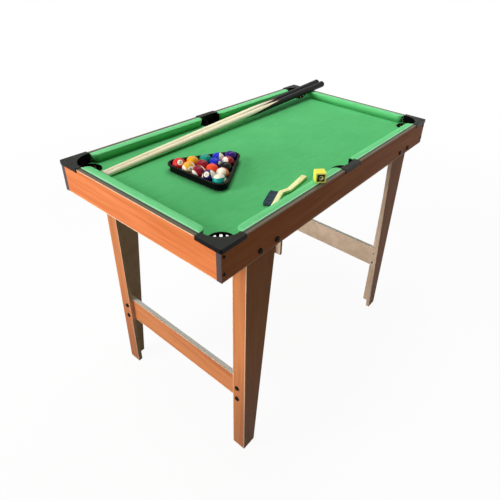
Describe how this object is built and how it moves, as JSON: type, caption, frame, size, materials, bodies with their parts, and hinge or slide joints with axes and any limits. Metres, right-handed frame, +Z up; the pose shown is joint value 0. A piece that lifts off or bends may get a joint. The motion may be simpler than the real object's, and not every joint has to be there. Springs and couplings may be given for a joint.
{
  "type": "small pocket billiards table",
  "caption": "Small free-standing pocket billiards table on bolted board legs, with green cloth and cushions, moulded pockets, cues, racked balls, brush and chalk.",
  "frame": {"origin": "on the floor, midway between the four feet, under the centre of the bed", "axes": "+X along the table's length towards the cues' butts, -Y the long side with the chalk, +Z up"},
  "size_m": [0.9795, 0.526, 0.752],
  "materials": {
    "apron_foil": "orange-brown wood-grain foil on fibreboard, satin",
    "raw_board": "bare fibreboard",
    "leg_foil": "orange-brown wood-grain foil on fibreboard, satin",
    "edge_band": "dark grey edge strip",
    "bed_cloth": "green cloth",
    "cushion_cloth": "green cloth over a rubber-like core",
    "pocket_plastic": "black moulded plastic",
    "bolt_black": "black coated steel",
    "nut_zinc": "zinc plated steel",
    "screw_black": "black coated steel",
    "cue_wood": "pale lacquered wood",
    "cue_black": "black lacquered wood",
    "cue_ferrule": "white ferrule with a leather pad",
    "rack_plastic": "black moulded plastic",
    "brush_wood": "pale lacquered wood",
    "brush_bristle": "dark blue-grey bristles",
    "chalk": "pressed chalk",
    "chalk_paper": "yellow paper",
    "ball_yellow": "polished resin",
    "ball_blue": "polished resin",
    "ball_red": "polished resin",
    "ball_purple": "polished resin",
    "ball_orange": "polished resin",
    "ball_green": "polished resin",
    "ball_maroon": "polished resin",
    "ball_black": "polished resin",
    "ball_yellow_stripe": "polished resin",
    "ball_blue_stripe": "polished resin",
    "ball_red_stripe": "polished resin",
    "ball_violet_stripe": "polished resin",
    "ball_orange_stripe": "polished resin",
    "ball_green_stripe": "polished resin",
    "ball_maroon_stripe": "polished resin"
  },
  "bodies": {
    "table": {"front_apron": "apron_foil", "back_apron": "apron_foil", "left_apron": "apron_foil", "right_apron": "apron_foil", "edge_bands": "edge_band", "bed_board": "raw_board", "bed_battens": "raw_board", "bed_cloth": "bed_cloth", "left_cushion": "cushion_cloth", "right_cushion": "cushion_cloth", "front_left_cushion": "cushion_cloth", "front_right_cushion": "cushion_cloth", "back_left_cushion": "cushion_cloth", "back_right_cushion": "cushion_cloth", "corner_pocket_front_left": "pocket_plastic", "leg_front_left_side": "leg_foil", "leg_front_left_end": "leg_foil", "corner_pocket_front_right": "pocket_plastic", "leg_front_right_side": "leg_foil", "leg_front_right_end": "leg_foil", "corner_pocket_back_left": "pocket_plastic", "leg_back_left_side": "leg_foil", "leg_back_left_end": "leg_foil", "corner_pocket_back_right": "pocket_plastic", "leg_back_right_side": "leg_foil", "leg_back_right_end": "leg_foil", "side_pocket_front": "pocket_plastic", "side_pocket_back": "pocket_plastic", "left_stretcher": "leg_foil", "right_stretcher": "leg_foil", "frame_bolts": "bolt_black", "frame_nuts": "nut_zinc", "apron_screws": "screw_black"},
    "cue_1": {"cue_1_shaft": "cue_wood", "cue_1_butt": "cue_black", "cue_1_tip": "cue_ferrule"},
    "cue_2": {"cue_2_shaft": "cue_wood", "cue_2_butt": "cue_black", "cue_2_tip": "cue_ferrule"},
    "rack": {"rack": "rack_plastic"},
    "ball_01": {"ball_01": "ball_yellow"},
    "ball_02": {"ball_02": "ball_blue"},
    "ball_03": {"ball_03": "ball_red"},
    "ball_04": {"ball_04": "ball_purple"},
    "ball_05": {"ball_05": "ball_orange"},
    "ball_06": {"ball_06": "ball_green"},
    "ball_07": {"ball_07": "ball_maroon"},
    "ball_08": {"ball_08": "ball_black"},
    "ball_09": {"ball_09": "ball_yellow_stripe"},
    "ball_10": {"ball_10": "ball_blue_stripe"},
    "ball_11": {"ball_11": "ball_red_stripe"},
    "ball_12": {"ball_12": "ball_violet_stripe"},
    "ball_13": {"ball_13": "ball_orange_stripe"},
    "ball_14": {"ball_14": "ball_green_stripe"},
    "ball_15": {"ball_15": "ball_maroon_stripe"},
    "brush": {"brush_body": "brush_wood", "brush_bristles": "brush_bristle"},
    "chalk": {"chalk_cube": "chalk", "chalk_wrapper": "chalk_paper"}
  },
  "joints": [
    {"name": "cue_1_lift", "type": "slide", "parent": "table", "child": "cue_1", "axis": [0, 0, 1], "range_m": [0, 0.15]},
    {"name": "cue_2_lift", "type": "slide", "parent": "table", "child": "cue_2", "axis": [0, 0, 1], "range_m": [0, 0.15]},
    {"name": "rack_lift", "type": "slide", "parent": "table", "child": "rack", "axis": [0, 0, 1], "range_m": [0, 0.12]},
    {"name": "ball_01_lift", "type": "slide", "parent": "table", "child": "ball_01", "axis": [0, 0, 1], "range_m": [0, 0.1]},
    {"name": "ball_02_lift", "type": "slide", "parent": "table", "child": "ball_02", "axis": [0, 0, 1], "range_m": [0, 0.1]},
    {"name": "ball_03_lift", "type": "slide", "parent": "table", "child": "ball_03", "axis": [0, 0, 1], "range_m": [0, 0.1]},
    {"name": "ball_04_lift", "type": "slide", "parent": "table", "child": "ball_04", "axis": [0, 0, 1], "range_m": [0, 0.1]},
    {"name": "ball_05_lift", "type": "slide", "parent": "table", "child": "ball_05", "axis": [0, 0, 1], "range_m": [0, 0.1]},
    {"name": "ball_06_lift", "type": "slide", "parent": "table", "child": "ball_06", "axis": [0, 0, 1], "range_m": [0, 0.1]},
    {"name": "ball_07_lift", "type": "slide", "parent": "table", "child": "ball_07", "axis": [0, 0, 1], "range_m": [0, 0.1]},
    {"name": "ball_08_lift", "type": "slide", "parent": "table", "child": "ball_08", "axis": [0, 0, 1], "range_m": [0, 0.1]},
    {"name": "ball_09_lift", "type": "slide", "parent": "table", "child": "ball_09", "axis": [0, 0, 1], "range_m": [0, 0.1]},
    {"name": "ball_10_lift", "type": "slide", "parent": "table", "child": "ball_10", "axis": [0, 0, 1], "range_m": [0, 0.1]},
    {"name": "ball_11_lift", "type": "slide", "parent": "table", "child": "ball_11", "axis": [0, 0, 1], "range_m": [0, 0.1]},
    {"name": "ball_12_lift", "type": "slide", "parent": "table", "child": "ball_12", "axis": [0, 0, 1], "range_m": [0, 0.1]},
    {"name": "ball_13_lift", "type": "slide", "parent": "table", "child": "ball_13", "axis": [0, 0, 1], "range_m": [0, 0.1]},
    {"name": "ball_14_lift", "type": "slide", "parent": "table", "child": "ball_14", "axis": [0, 0, 1], "range_m": [0, 0.1]},
    {"name": "ball_15_lift", "type": "slide", "parent": "table", "child": "ball_15", "axis": [0, 0, 1], "range_m": [0, 0.1]},
    {"name": "brush_lift", "type": "slide", "parent": "table", "child": "brush", "axis": [0, 0, 1], "range_m": [0, 0.12]},
    {"name": "chalk_lift", "type": "slide", "parent": "table", "child": "chalk", "axis": [0, 0, 1], "range_m": [0, 0.1]}
  ]
}
